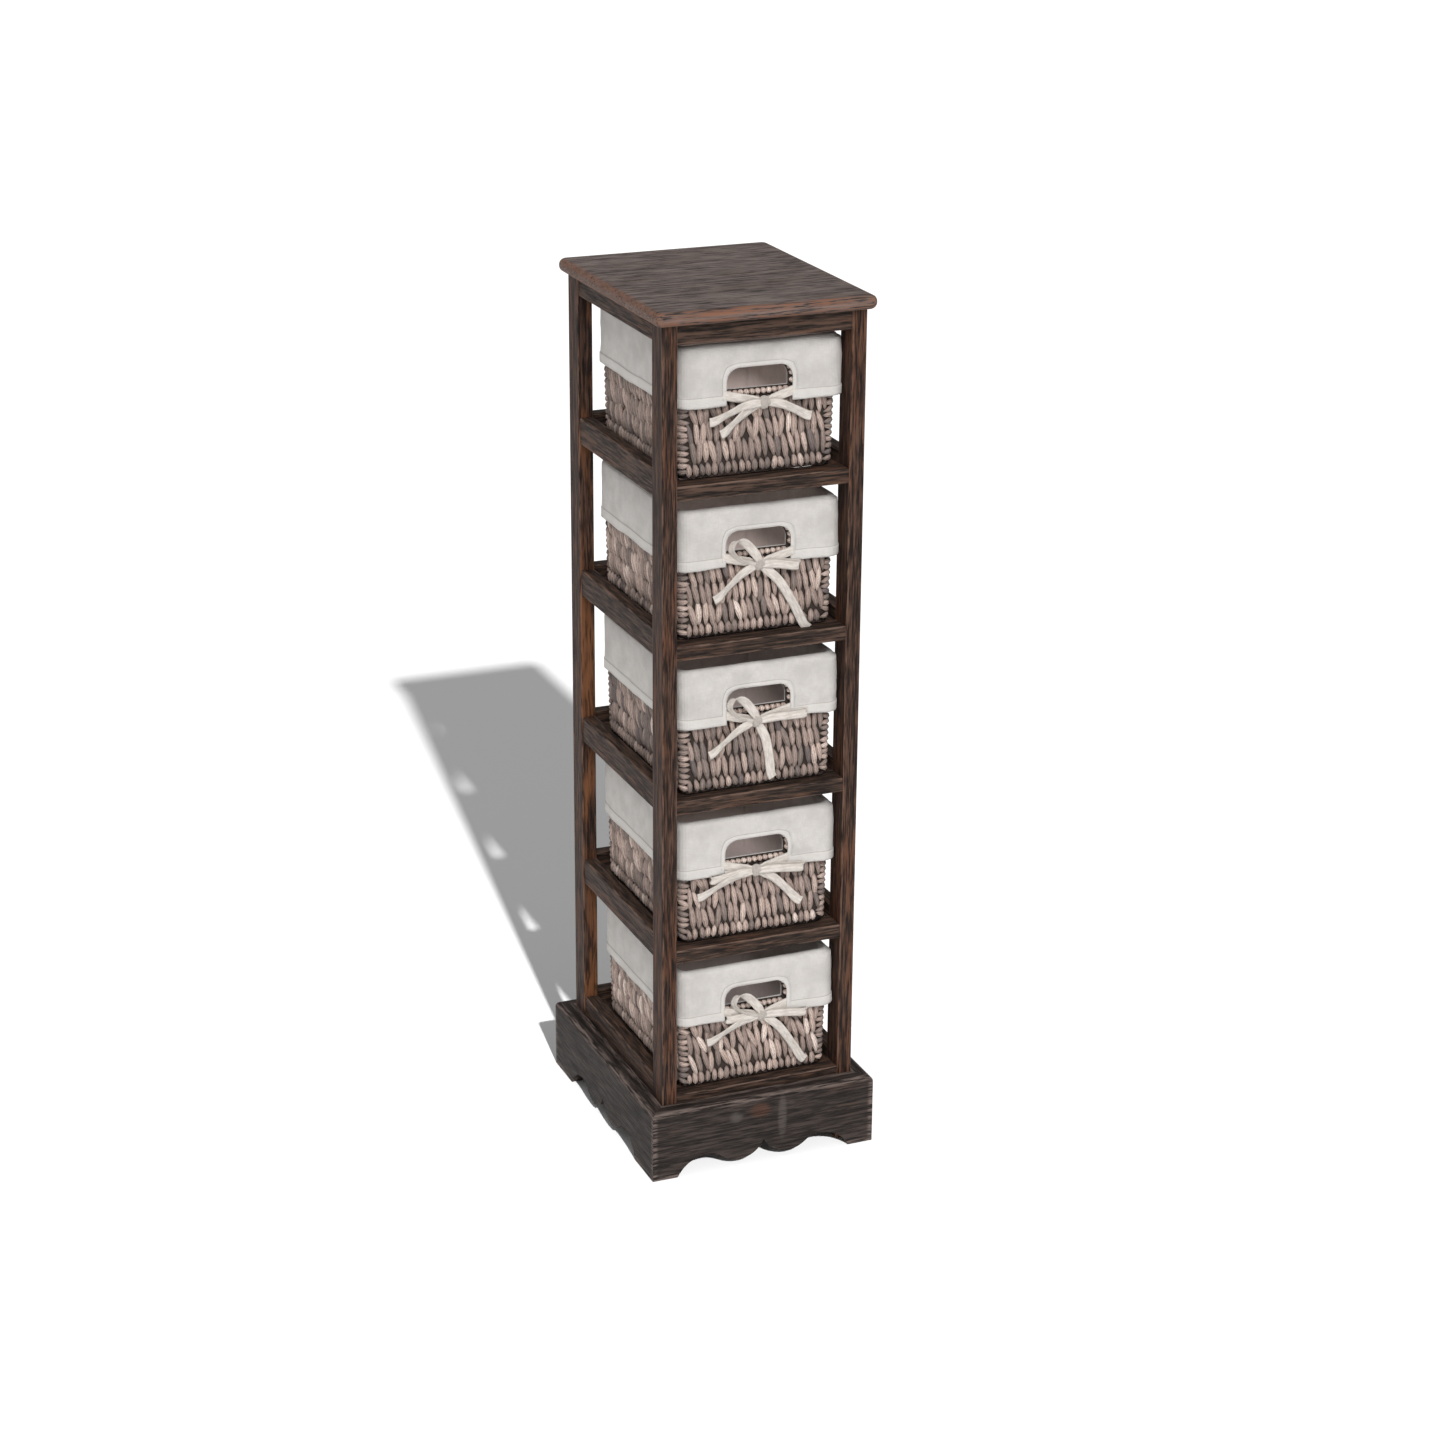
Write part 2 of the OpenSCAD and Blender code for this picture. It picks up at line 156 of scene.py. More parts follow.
def stained_wood(name, along, tones, brown, brown_share=0.5, edge_wear_and_highlight_reach=EDGE_WEAR_AND_HIGHLIGHT_REACH, ends_worn_and_highlit=False,
                 bare_front=False, spots=()):
    """Stained wood for one CAD node, with its grain along axis 0, 1 or 2 and its edges paler: rubbed stain
    and painted highlight.
    """
    material, shader, at = new_finish(f"wood_{name}")
    low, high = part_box(name)
    stretch = tuple(GRAIN_PULL if k == along else 1.0 for k in range(3))
    shift = (sum(name.encode()) % 29) * 0.37
    streaks = at.grain(STREAKS_PER_M, stretch, 5.0, shift)
    lines = at.grain(LINES_PER_M, stretch, 4.0, shift)
    clouds = at.grain(CLOUDS_PER_M, tuple(math.sqrt(s) for s in stretch), 2.0, shift)
    tone = streaks * 0.35 + lines * 0.65
    dark, middle, light, rubbed_and_highlight = (paint(*seen) for seen in tones)
    stain = tone.node("ValToRGB", {"Fac": tone}, stops=[(0.41, dark), (0.50, middle), (0.58, light)])
    thin_stain = tone.node("ValToRGB", {"Fac": tone}, stops=[(0.41, dark), (0.57, paint(*brown))])
    bare = (clouds + streaks * 0.5).between(1.0 - brown_share * 0.5, 1.13 - brown_share * 0.5)
    colour = (bare * 0.5).mix(stain, thin_stain)
    axes = at.axes()
    gaps = [(high[k] - low[k]) / 2 - abs(axes[k] - (high[k] + low[k]) / 2) for k in range(3)]
    across = [gap for k, gap in enumerate(gaps) if k != along]
    edge = most(*across)
    if ends_worn_and_highlit:
        edge = least(edge, most(least(*across), gaps[along]))
    # The edges are painted paler out to the reach: partly stain rubbed off, partly a painted highlight where
    # they catch the light.
    edge_wear_and_highlight = (1 - (edge / edge_wear_and_highlight_reach).between(0.35, 1.0)) * lines.between(0.40, 0.62)
    colour = (edge_wear_and_highlight * 0.8).mix(colour, rubbed_and_highlight)
    if bare_front:
        front = 1 - (axes[1] - low[1]).between(0.3 * MM, 0.9 * MM)
        colour = (front * clouds.between(0.46, 0.62) * 0.45).mix(colour, BARE_WOOD)
    for x, z, reach_x, reach_z, spot in spots:
        beside, above = (axes[0] - x) / reach_x, (axes[2] - z) / reach_z
        off = beside * beside + above * above + clouds * 2.0 - 1.0
        colour = ((1 - off.between(-0.1, 1.5)) * 0.45).mix(colour, paint(*spot))
    pores = lines.between(0.36, 0.47)
    colour = (pores * 0.62 + 0.38).mix(PORE, colour)
    shader.inputs["Specular IOR Level"].default_value = 0.18
    apply(shader, colour, 0.76 - streaks * 0.2, pores * 0.6 + streaks * 0.8, WOOD_RELIEF)
    return material


def dress(name, material):
    """Puts a finish on a CAD node."""
    for place in nodes[name].material_slots:
        place.material = material


POST_TONES = [(30, 20, 16), (53, 37, 30), (82, 59, 47), (108, 82, 69)]
POST_BROWN = (98, 61, 40)
for end in ("front", "back"):
    for side in ("left", "right"):
        name = f"post_{end}_{side}"
        dress(name, stained_wood(name, 2, POST_TONES, POST_BROWN, 0.55, bare_front=end == "back"))

# Rails, aprons and runners
# Shorter laths of the same wood, dowelled between the posts: flat ones under the front of each basket, and
# deeper ones on edge at the sides and the back. Two thin runners on each level carry a basket.
LEVELS = range(1, 6)
RAIL_TONES = [(31, 23, 19), (53, 40, 33), (80, 61, 51), (108, 87, 76)]
RAIL_BROWN = (90, 59, 42)
BARS = {"front_rail": 0, "back_rail": 0, "left_rail": 1, "right_rail": 1, "runners": 1}
bars = {f"{kind}_{level}": along for kind, along in BARS.items() for level in LEVELS}
bars.update(apron_front=0, apron_back=0, apron_left=1, apron_right=1)
for name, along in bars.items():
    reach = 0.4 * MM if name.startswith("runners") else EDGE_WEAR_AND_HIGHLIGHT_REACH
    dress(name, stained_wood(name, along, RAIL_TONES, RAIL_BROWN, 0.4, reach))

# Plinth
# Four wide boards mitred at the corners, their outer top edge rounded over and their lower edge sawn in lobes
# and arches. They are darker than the frame, and paler grey along the rounding and at the corners, partly as
# rubbed stain and partly as a painted highlight. The front one has a brown knot near the middle, with two
# pale smears beside it.
PLINTH_TONES = [(30, 25, 23), (43, 36, 33), (62, 53, 49), (112, 98, 92)]
PLINTH_BROWN = (70, 52, 43)
plinth_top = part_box("plinth_front")[1][2]
KNOT_AND_SMEARS = [
    (-5 * MM, plinth_top - 17 * MM, 12 * MM, 9 * MM, (94, 58, 40)),
    (21 * MM, plinth_top - 28 * MM, 5 * MM, 28 * MM, (92, 85, 81)),
    (-32 * MM, plinth_top - 20 * MM, 8 * MM, 7 * MM, (92, 87, 84)),
]
for name, along in (("plinth_front", 0), ("plinth_back", 0), ("plinth_left", 1), ("plinth_right", 1)):
    spots = KNOT_AND_SMEARS if name == "plinth_front" else ()
    dress(name, stained_wood(name, along, PLINTH_TONES, PLINTH_BROWN, 0.3, 7 * MM, True, spots=spots))

# Top board
# One board with its grain across the shelf and its edge turned to a half round. Handling has worn the stain
# to brown along the front edge, and the face has greyed.
TOP_TONES = [(75, 66, 63), (99, 88, 84), (117, 106, 101), (124, 76, 48)]
TOP_BROWN = (102, 84, 74)
dress("top_board", stained_wood("top_board", 0, TOP_TONES, TOP_BROWN, 0.35, 9 * MM, True))

# Dowels
# Turned beech pins glued into the ends of the rails and the posts. They are hidden once the frame is closed.
dowel_wood, dowel_shader, dowel_at = new_finish("dowel_wood")
dowel_grain = dowel_at.grain(600.0, (1, 1, 0.2))
apply(
    dowel_shader,
    dowel_grain.mix(paint(196, 160, 116), paint(222, 190, 150)),
    0.55 + dowel_grain * 0.2,
    dowel_grain,
    0.1 * MM,
)
dress("dowels", dowel_wood)

# Iron frames of the baskets
# Two hoops and four uprights of welded iron bar inside the weave, browned by the forge and lightly rusted.
iron, iron_shader, iron_at = new_finish("iron")
rust = iron_at.grain(240.0, detail=5.0).between(0.45, 0.62)
apply(iron_shader, rust.mix(paint(52, 48, 46), paint(58, 42, 34)), 0.45 + rust * 0.35, rust, 0.2 * MM)
iron.node_tree.links.new((1 - rust).socket, iron_shader.inputs["Metallic"])
for level in LEVELS:
    dress(f"basket_frame_{level}", iron)

# Baskets
# Strands of twisted water hyacinth leaf, woven upright over thin cane rods. Each one bulges where it passes
# over a rod, and dives between two of them. A coarse wrapping covers the corners, and a finer one the edge of
# the hand hole.
WALL = 7 * MM
TAPER = 3 * MM
CORNER = 13 * MM
WEAVE_W, WEAVE_D, WEAVE_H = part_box("basket_1")[1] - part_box("basket_1")[0]
BETWEEN_POSTS = 91.2 * MM
FLAT_W, FLAT_D = WEAVE_W / 2 - CORNER, WEAVE_D / 2 - CORNER
BEND = math.pi / 2 * CORNER
QUARTER = FLAT_W + BEND + FLAT_D
ROUND = 4 * QUARTER
HOLE_HALF, HOLE_LOW, HOLE_TOP, HOLE_ROUND = 33 * MM, 87 * MM, 110 * MM, 13.8 * MM
ROD_Z = [6.5 * MM, 26.5 * MM, 46.5 * MM, 66.5 * MM, 86.5 * MM, 106.5 * MM, 124 * MM]
STRAND_STEP = 7.1 * MM
STRAND, BOTTOM_STRAND, TOP_STRAND = 31 * MM, 17 * MM, 19 * MM
# No tip of the upright strands stands higher, so that the fold of the cuff covers them
HIGHEST_TIP = 131.5 * MM
CORNER_WRAP, CORNER_WRAP_STEP = 27 * MM, 6.6 * MM
RIM_ROPE, RIM_ROPE_STEP = 23 * MM, 20 * MM
BEAD_STEP, BEADS_IN_ARCH = 6.2 * MM, 4


def wall_place(s, out, z):
    """The point s along the wall from the middle of the front, so far out from its face, at height z."""
    quarter, way = divmod(s % ROUND, QUARTER)
    if quarter % 2:
        way = QUARTER - way
    if way < FLAT_W:
        foot, outward = Vector((way, -WEAVE_D / 2)), Vector((0, -1))
    elif way < FLAT_W + BEND:
        turn = (way - FLAT_W) / CORNER
        outward = Vector((math.sin(turn), -math.cos(turn)))
        foot = Vector((FLAT_W, -FLAT_D)) + outward * CORNER
    else:
        foot, outward = Vector((WEAVE_W / 2, way - FLAT_W - BEND - FLAT_D)), Vector((1, 0))
    foot += outward * (out - TAPER * (1 - z / WEAVE_H))
    mirror_x = -1 if quarter in (2, 3) else 1
    mirror_y = -1 if quarter in (1, 2) else 1
    return Vector((foot.x * mirror_x, foot.y * mirror_y, z))


def under_middle(level):
    """The point under the middle of a basket."""
    low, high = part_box(f"basket_{level}")
    return Vector(((low[0] + high[0]) / 2, (low[1] + high[1]) / 2, low[2]))


def onto_wall(bm, level):
    """Bends a mesh drawn flat, its face on y = 0 towards -Y, round a basket's wall, short of the posts."""
    middle = under_middle(level)
    for vert in bm.verts:
        vert.co = wall_place(vert.co.x, -vert.co.y, vert.co.z) + middle
        vert.co.x = max(-BETWEEN_POSTS, min(BETWEEN_POSTS, vert.co.x))


def finished(bm, name, level, material):
    """Closes a mesh and makes it an object that rides on its basket."""
    mesh = bpy.data.meshes.new(name)
    bmesh.ops.remove_doubles(bm, verts=bm.verts, dist=0.02 * MM)
    bmesh.ops.recalc_face_normals(bm, faces=bm.faces)
    bm.to_mesh(mesh)
    bm.free()
    mesh.materials.append(material)
    mesh.shade_smooth()
    piece = bpy.data.objects.new(name, mesh)
    bpy.context.scene.collection.objects.link(piece)
    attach(piece, f"drawer_basket_{level}")
    return piece


FLAT = Matrix.Identity(4)
# Carries each strand, and later each tape, into the mesh that it joins
one_strand = bpy.data.meshes.new("one_strand")


def add_strand(bm, s, z, length, width, lean, tone, thick=4.6 * MM, dive=3.0 * MM, rings=7, place=FLAT):
    """A spindle of leaf drawn flat, with its middle at [s, z] just under the face and its tips deeper."""
    strand = bmesh.new()
    strand.loops.layers.uv.new("UVMap")
    shade = strand.verts.layers.float.new("tone")
    turn = Matrix.Rotation(lean, 3, "Y")
    ball = bmesh.ops.create_uvsphere(strand, u_segments=6, v_segments=rings, radius=1, calc_uvs=True)
    for vert in ball["verts"]:
        up = vert.co.z
        swirl = Matrix.Rotation(up * 0.5, 2) @ vert.co.xy
        half_width = width / 2 * max(0.0, 1 - up * up) ** 0.45
        body = Vector((swirl.x * half_width, (swirl.y + 1) * thick / 2 + dive * up * up, up * length / 2))
        vert.co = place @ (turn @ body + Vector((s, 0, z)))
        vert[shade] = tone
    strand.to_mesh(one_strand)
    strand.free()
    bm.from_mesh(one_strand)


def by_hole(s, z, reach):
    return abs(s) < HOLE_HALF + reach and HOLE_LOW - reach < z < HOLE_TOP + reach


def hole_rim(outset):
    """Points along the hand hole's edge, pushed outwards, with the direction there, one for each wrapping."""
    inner, half = HOLE_ROUND + outset, HOLE_HALF - HOLE_ROUND
    lines = [((-HOLE_HALF, HOLE_LOW - outset), (HOLE_HALF, HOLE_LOW - outset))]
    lines += [((HOLE_HALF + outset, HOLE_LOW), (HOLE_HALF + outset, HOLE_TOP - HOLE_ROUND))]
    lines += [((half, HOLE_TOP + outset), (-half, HOLE_TOP + outset))]
    lines += [((-HOLE_HALF - outset, HOLE_TOP - HOLE_ROUND), (-HOLE_HALF - outset, HOLE_LOW))]
    for (s0, z0), (s1, z1) in lines:
        count = max(1, round(math.hypot(s1 - s0, z1 - z0) / BEAD_STEP))
        for k in range(count):
            part = (k + 0.5) / count
            yield s0 + (s1 - s0) * part, z0 + (z1 - z0) * part, math.atan2(s1 - s0, z1 - z0)
    for side in (-1, 1):
        for k in range(BEADS_IN_ARCH):
            angle = math.pi / 2 * (k + 0.5) / BEADS_IN_ARCH
            s, z = side * (half + inner * math.sin(angle)), HOLE_TOP - HOLE_ROUND + inner * math.cos(angle)
            yield s, z, side * (angle + math.pi / 2)


def woven_basket(level, leaning, greyness):
    """All the strands of one basket, with the leaf's tone kept on each strand."""
    draw = random.Random(40 + level)
    bm = bmesh.new()
    bm.loops.layers.uv.new("UVMap")
    bm.verts.layers.float.new("tone")

    def tone(grey=greyness):
        return min(1.0, max(0.0, draw.gauss(0.66 - 0.2 * grey, 0.17)))

    start = -FLAT_W
    for flat in (2 * FLAT_W, 2 * FLAT_D, 2 * FLAT_W, 2 * FLAT_D):
        count = round(flat / STRAND_STEP)
        for row, rod in enumerate(ROD_Z):
            bottom, top = row == 0, row == len(ROD_Z) - 1
            length = BOTTOM_STRAND if bottom else TOP_STRAND if top else STRAND
            for k in range(count):
                s = start + (k + 0.25 + 0.5 * (row % 2)) * flat / count + draw.uniform(-0.7, 0.7) * MM
                z = rod + (1.5 * MM if bottom else draw.uniform(-3, 3) * MM)
                if by_hole(s, z, 5 * MM):
                    continue
                lean = math.radians(draw.gauss(leaning / 3 if bottom else leaning, 7))
                width = draw.uniform(6.2, 7.8) * MM
                reach = min(length * draw.uniform(0.88, 1.1), 2 * (HIGHEST_TIP - z))
                add_strand(bm, s, z, reach, width, lean, tone())
        corner = start + flat + BEND / 2
        wraps = round((WEAVE_H - 4 * MM) / CORNER_WRAP_STEP)
        for k in range(wraps):
            z = 4.2 * MM + (k + 0.5) * (WEAVE_H - 6 * MM) / wraps
            lean = math.radians(90 + draw.gauss(0, 6))
            width = draw.uniform(6.2, 7.2) * MM
            add_strand(bm, corner, z, CORNER_WRAP, width, lean, tone(0.9), dive=2.0 * MM)
        start += flat + BEND
    for s, z, heading in hole_rim(3.6 * MM):
        bead = draw.uniform(0.75, 1.0)
        add_strand(bm, s, z, 7.2 * MM, 6.6 * MM, heading + math.pi / 2, bead, thick=WALL, dive=0, rings=5)
    for k in range(round(ROUND / RIM_ROPE_STEP)):
        s, z = k * RIM_ROPE_STEP, WEAVE_H - 3.6 * MM
        add_strand(bm, s, z, RIM_ROPE, 6.4 * MM, math.pi / 2, tone(), thick=WALL, dive=0)
    onto_wall(bm, level)
    return bm


def woven_bottom(bm, level):
    """Ropes of the same leaf side by side across the underside of a basket."""
    draw = random.Random(60 + level)
    under = Matrix.Translation(under_middle(level))
    half_x, half_y = WEAVE_W / 2 - TAPER - 5 * MM, WEAVE_D / 2 - TAPER - 5 * MM
    face_down = Matrix.Rotation(math.pi / 2, 4, "X")
    count = round(2 * half_y / STRAND_STEP)
    for k in range(count):
        y = (k + 0.5) * 2 * half_y / count - half_y
        for part in (-1, 0, 1):
            place = Matrix.Translation((part * half_x / 1.5, y, 0.1 * MM)) @ face_down
            tone = draw.uniform(0.3, 0.9)
            add_strand(bm, 0, 0, half_x / 1.3, 7.2 * MM, math.pi / 2, tone, place=under @ place)


wicker, wicker_shader, leaf_tone = new_finish("wicker", "Attribute", "Fac", attribute_name="tone")
tree = wicker.node_tree
leaf_way = Shade(tree, tree.nodes.new("ShaderNodeUVMap").outputs["UV"])
leaf_at = Shade(tree, tree.nodes.new("ShaderNodeTexCoord").outputs["Object"])
leaf_round, leaf_along, _ = leaf_way.axes()
LEAF_TONES = [
    (0.0, paint(98, 90, 90)),
    (0.25, paint(128, 115, 109)),
    (0.5, paint(160, 141, 132)),
    (0.75, paint(196, 174, 163)),
    (1.0, paint(232, 214, 203)),
]
mottle = leaf_at.grain(300.0, detail=4.0)
creases = (leaf_round * 7 + leaf_along * 3 + mottle * 1.6).math("FRACT")
creases = abs(creases - 0.5) * 2
leaf = leaf_tone.node("ValToRGB", {"Fac": leaf_tone + mottle * 0.5 - 0.25}, stops=LEAF_TONES)
# The twist creases are painted darker as shade, besides being cut into the bump.
leaf = (creases.between(0.0, 0.5) * 0.65 + 0.35).mix(paint(86, 68, 58), leaf)
# The tips of each strand, where it dives under its neighbours, are painted dark as shade.
tips_painted_shade = (abs(leaf_along - 0.5) * 2).between(0.5, 0.92)
leaf = (tips_painted_shade * 0.9).mix(leaf, paint(42, 31, 27))
apply(wicker_shader, leaf, 0.62 + mottle * 0.2, creases * 0.6 + mottle, 0.6 * MM)

BASKET_LEAN = [-9, -11, -7, -10, -12]
BASKET_GREY = [0.9, 0.6, 1.1, 0.6, 0.3]
for level in LEVELS:
    weave_mesh = woven_basket(level, BASKET_LEAN[level - 1], BASKET_GREY[level - 1])
    woven_bottom(weave_mesh, level)
    finished(weave_mesh, f"weave_{level}", level, wicker)
    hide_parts(f"basket_{level}")

# Inner weave
# The inner half of each basket's weave, behind the strands. It is drawn as one sheet with the hand hole in
# it,
# painted near black in brown bands: partly the leaf's own dark brown, partly painted shade between the
# strands.


def steps(*stops):
    """Places from the first stop to the last, each stretch in even steps: (end, number of steps)."""
    places = [stops[0]]
    for end, count in stops[1:]:
        start = places[-1]
        places += [start + (end - start) * (k + 1) / count for k in range(count)]
    return places


def around(*near_hole):
    """Places round a whole wall, finer at the corners, which start and end at the middle of the back."""
    corner = QUARTER + FLAT_D
    side = steps(near_hole[-1], (FLAT_W, 6), (FLAT_W + BEND, 7),
                 (corner, 34), (corner + BEND, 7), (2 * QUARTER, 16))
    half = [*near_hole[:-1], *side]
    return [-s for s in reversed(half) if s > 0] + half


def round_window(s, z, half):
    """Moves a point so that the square upper corners of a window become round."""
    du, dz = abs(s) - (half - HOLE_ROUND), z - (HOLE_TOP - HOLE_ROUND)
    far = max(du, dz)
    if min(du, dz) <= 0 or far > 2.2 * HOLE_ROUND:
        return s, z
    pull = far / math.hypot(du, dz)
    ease = min(1.0, max(0.0, (far - HOLE_ROUND) / (1.2 * HOLE_ROUND)))
    pull += (1 - pull) * ease
    return math.copysign(half - HOLE_ROUND + du * pull, s), HOLE_TOP - HOLE_ROUND + dz * pull


def walked(rows):
    """How far each row [out, z] lies from the first one along the rows."""
    ways = [0.0]
    for before, after in zip(rows, rows[1:]):
        ways.append(ways[-1] + math.dist(before, after))
    return ways


def flat_sheet(columns, rows):
    """A flat grid with a vertex at each column s and row [out, z], and these by row. Its UV is in metres."""
    bm = bmesh.new()
    uv = bm.loops.layers.uv.new("UVMap")
    made = bmesh.ops.create_grid(bm, x_segments=len(columns) - 1, y_segments=len(rows) - 1, size=1)["verts"]
    lines = [made[k:k + len(columns)] for k in range(0, len(made), len(columns))]
    for line, (out, z), way in zip(lines, rows, walked(rows)):
        for vert, s in zip(line, columns):
            vert.co = Vector((s, -out, z))
            for loop in vert.link_loops:
                loop[uv].uv = (s, way)
    return bm, lines


def close_foot(bm):
    """Fills the loop of edges at the foot of a wall, with a narrow margin that the corners have room for."""
    foot_z = min(vert.co.z for vert in bm.verts) + 0.1 * MM
    foot = [edge for edge in bm.edges if edge.is_boundary and all(vert.co.z < foot_z for vert in edge.verts)]
    faces = bmesh.ops.holes_fill(bm, edges=foot, sides=0)["faces"]
    bmesh.ops.inset_region(bm, faces=faces, thickness=2 * MM)


def cut_window(bm, half, low, high, behind):
    """Deletes the faces in a window, of the layer that lies behind the weave's face or before it."""
    def inside(face):
        middle = face.calc_center_median()
        return abs(middle.x) < half and low < middle.z < high and (middle.y > WALL / 2) == behind
    bmesh.ops.delete(bm, geom=[face for face in bm.faces if inside(face)], context="FACES")


core_finish, core_shader, core_at = new_finish("inner_weave")
core_bands = core_at.grain(260.0, (1, 1, 0.25))
inner_weave_and_painted_shade = core_bands.mix(paint(20, 15, 13), paint(62, 48, 40))
apply(core_shader, inner_weave_and_painted_shade, 0.8 + core_bands * 0.1, core_bands, 1.5 * MM)
for level in LEVELS:
    rows = [(-5.2 * MM, z) for z in steps(3 * MM, (HOLE_LOW, 6), (HOLE_TOP, 4), (WEAVE_H - 4 * MM, 2))]
    core_mesh, lines = flat_sheet(around(*steps(0, (HOLE_HALF, 8))), rows)
    cut_window(core_mesh, HOLE_HALF, HOLE_LOW, HOLE_TOP, True)
    for vert in core_mesh.verts:
        vert.co.x, vert.co.z = round_window(vert.co.x, vert.co.z, HOLE_HALF)
    onto_wall(core_mesh, level)
    bmesh.ops.remove_doubles(core_mesh, verts=core_mesh.verts, dist=0.05 * MM)
    close_foot(core_mesh)
    core = finished(core_mesh, f"inner_weave_{level}", level, core_finish)
    shell = core.modifiers.new("Thickness", "SOLIDIFY")
    shell.thickness, shell.offset = 1.8 * MM, 0.0
    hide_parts(f"basket_{level}")

# Linings
# A bag of undyed cotton in each basket, folded outwards over the rim into a cuff with a wide hem. The cuff is
# cut away in an arch below and round the hand hole, and the cut edge is bound with a tape of the same cloth.
CUFF_Z, HEM_Z = 73 * MM, 82.6 * MM
NOTCH_HALF = 35 * MM
BINDING = 4.5 * MM
FOLD_Z, FOLD_R = 130.2 * MM, 4.3 * MM
CUFF_OUT = 0.8 * MM
CUFF_FLARE = {1: 5.0 * MM, 2: 4.0 * MM, 3: 4.0 * MM, 4: 4.0 * MM, 5: 4.0 * MM}


def kept(material, name):
    """A number that is kept on a mesh's points."""
    node = material.node_tree.nodes.new("ShaderNodeAttribute")
    node.attribute_name = name
    return Shade(material.node_tree, node.outputs["Fac"])


cotton, cotton_shader, cotton_way = new_finish("cotton", "UVMap", "UV")
threads_u, threads_v, _ = cotton_way.axes()
cotton_at = Shade(cotton.node_tree, cotton.node_tree.nodes.new("ShaderNodeTexCoord").outputs["Object"])
cotton_fold = cotton_at.grain(45.0, detail=4.0)
slubs = cotton_way.grain(900.0, (1, 0.15, 1)) + cotton_way.grain(900.0, (0.15, 1, 1))
threads = (threads_u * 4500).math("SINE") + (threads_v * 4500).math("SINE")
# The cloth is painted darker where its fold relief is low, as shade in the hollows of the folds.
cloth_colour = cotton_fold.between(0.3, 0.7).mix(paint(184, 180, 176), paint(202, 198, 194))
cloth_colour = (slubs.between(0.7, 1.4) * 0.5).mix(cloth_colour, paint(184, 178, 172))
# The tape and the hem are doubled cloth, sewn on and paler; the dark line along their edge is painted shade
# in the seam
trim = kept(cotton, "trim")
cloth_colour = (trim.between(0.5, 1.0) * 0.5).mix(cloth_colour, paint(208, 204, 199))
painted_seam_shade = 1 - (abs(trim - 0.5) * 2).between(0.3, 1.0)
cloth_colour = (painted_seam_shade * 0.75).mix(cloth_colour, paint(136, 129, 123))
apply(cotton_shader, cloth_colour, 0.86 + slubs * 0.04, threads * 0.06 + slubs * 0.12 + cotton_fold, 1.4 * MM)
cotton_shader.inputs["Sheen Weight"].default_value = 0.15
# A weak glow stands in for the daylight that reaches the foot of each bag, strongest at the top level
DAYLIGHT = {1: 1.05, 2: 0.73, 3: 0.34, 4: 0.41, 5: 0.22}
DAYLIGHT_TOP = 52 * MM
glow = kept(cotton, "daylight").mix((0, 0, 0, 1), paint(190, 174, 170))
cotton.node_tree.links.new(glow.socket, cotton_shader.inputs["Emission Color"])
cotton_shader.inputs["Emission Strength"].default_value = 1.0


def doubled(s, z):
    """Whether a point of the cuff lies on the tape round the notch or on the hem."""
    return max(abs(s) - NOTCH_HALF, z - HOLE_TOP) < BINDING - 0.1 * MM or z < HEM_Z + 0.1 * MM


def cuff_shape(s, out, z, level):
    """Where a point of the cuff drawn at [s, out, z] comes to lie, with its tape, hem and soft ripples."""
    place = wall_place(s, 0, z) + Vector((0, 0, level * 0.31))
    low = (FOLD_Z - z) / (FOLD_Z - CUFF_Z)
    out += low * 0.9 * MM + max(0.0, noise.noise(place * 24)) * low * 2.2 * MM
    out += max(0.0, noise.noise(place * 60)) * 0.9 * MM
    corner = max(0.0, 1 - abs(s - FLAT_W - BEND * 0.6) / (30 * MM))
    out += CUFF_FLARE[level] * corner * min(1.0, 0.7 + max(0.0, low))
    if doubled(s, z):
        out += 0.7 * MM
    s, z = round_window(s, z, NOTCH_HALF)
    return s, out, z + noise.noise(place * 30) * max(0.0, low) ** 4 * 1.6 * MM


